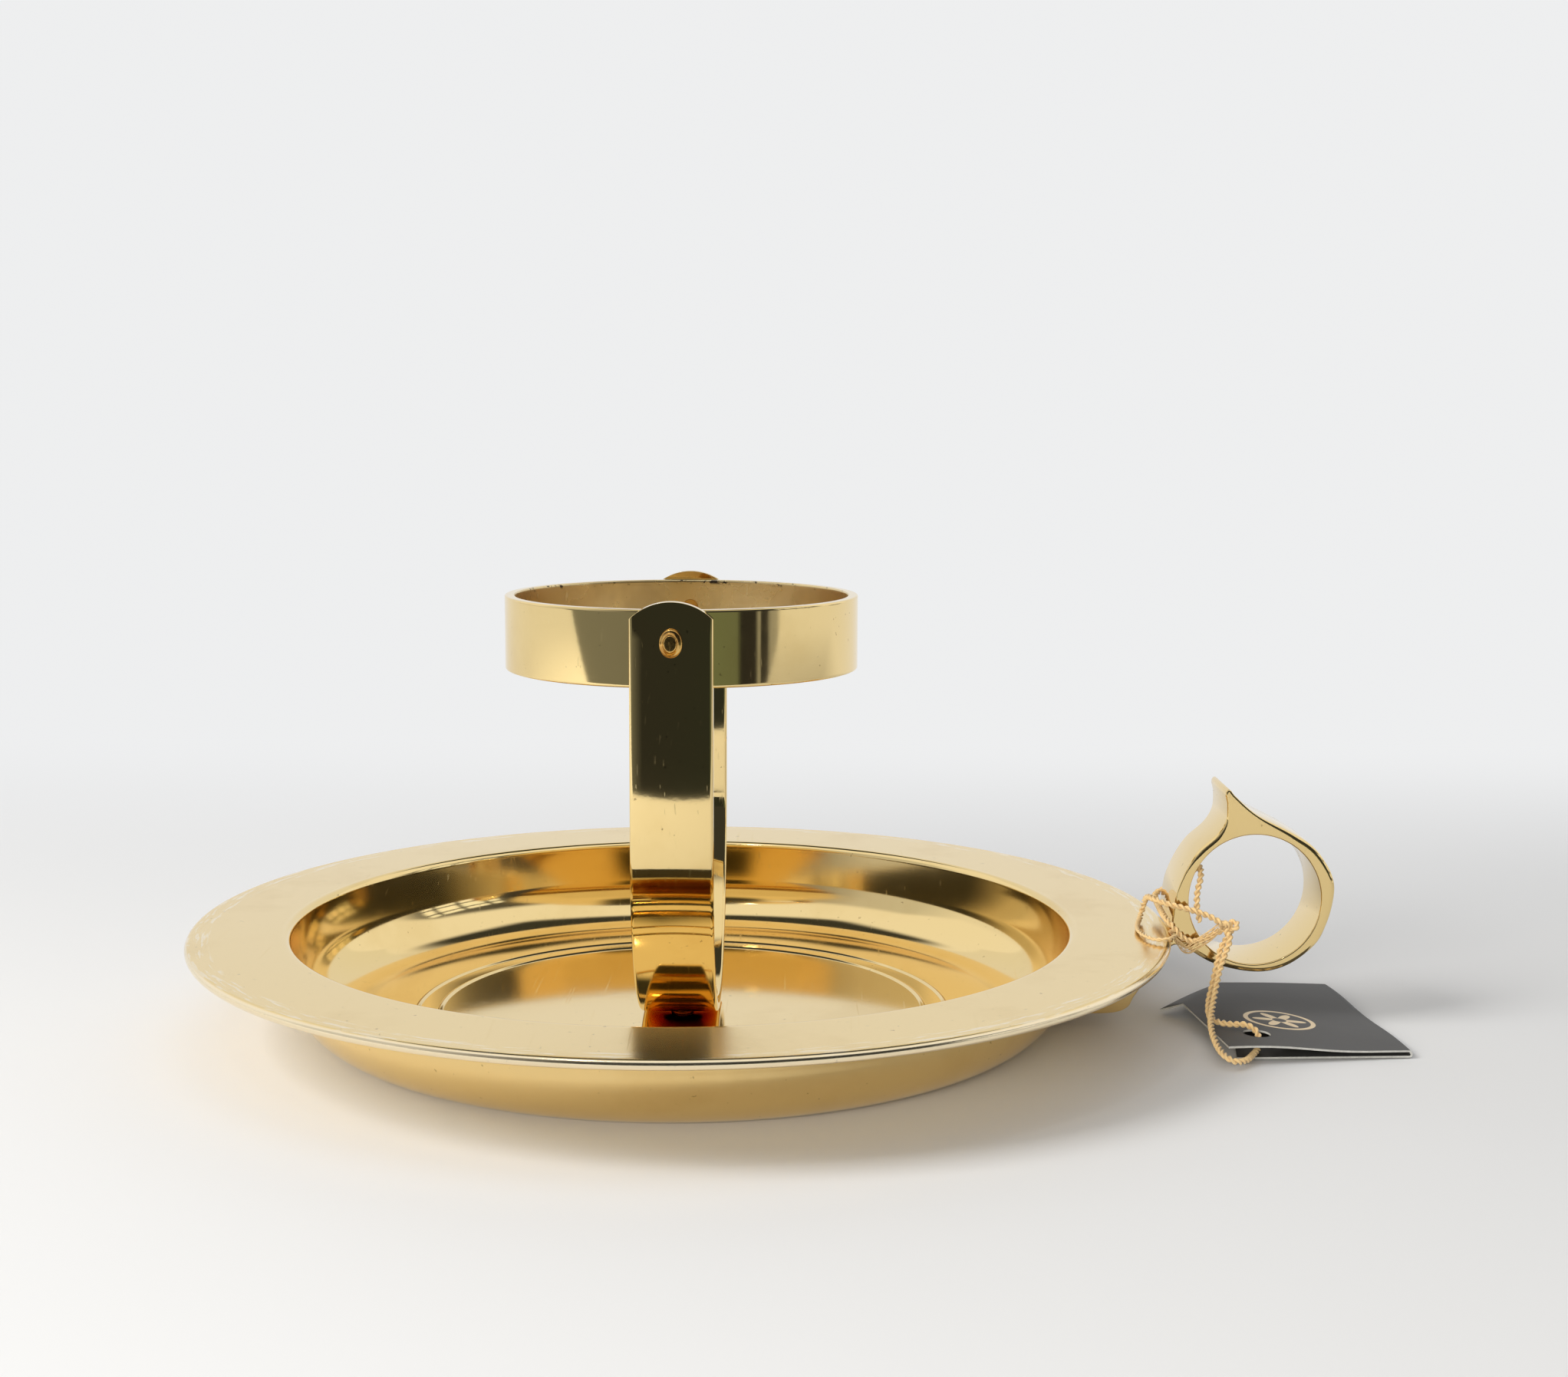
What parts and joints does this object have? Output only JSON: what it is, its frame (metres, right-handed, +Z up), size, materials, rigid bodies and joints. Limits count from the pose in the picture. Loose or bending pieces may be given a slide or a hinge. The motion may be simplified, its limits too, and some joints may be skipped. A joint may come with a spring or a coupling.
{
  "type": "brass chamberstick",
  "caption": "Low candle holder: dished tray with a flat rim, a finger ring at its edge, and a pivoting candle ring carried on a U-shaped strap, with a swing tag on a string.",
  "frame": {"origin": "centre of the tray's underside, on the flush end of the strap rivet, at table level", "axes": "+Z up; +X from the tray's centre to the finger ring; the strap stands in the YZ plane and the candle ring turns about Y"},
  "size_m": [0.2247, 0.184, 0.0828],
  "materials": {
    "tray_brass": "polished, thin wear line on the rim's edge",
    "strap_brass": "polished, fine scratches low on the front leg",
    "ring_brass": "polished outside, turned satin inside with tarnish at the top edge",
    "pin_brass": "hand-peened, slightly dull",
    "handle_brass": "polished casting",
    "tag_card": "matt dark grey card, pale cut edges, a plain pale gold ornament",
    "tag_string": "two-strand twisted gold viscose string"
  },
  "bodies": {
    "stand": {"tray": "tray_brass", "strap": "strap_brass", "strap_rivet": "pin_brass", "pivot_pin_front": "pin_brass", "pivot_pin_back": "pin_brass", "finger_ring": "handle_brass", "swing_tag": "tag_card", "string_fall": "tag_string", "string_wrap": "tag_string", "string_loop": "tag_string", "string_knot": "tag_string"},
    "cup_ring": {"candle_ring": "ring_brass"}
  },
  "joints": [
    {"name": "candle_ring_pivot", "type": "hinge", "parent": "stand", "child": "cup_ring", "pos_m": [0, 0, 0.0757], "axis": [0, 1, 0], "continuous": true}
  ]
}
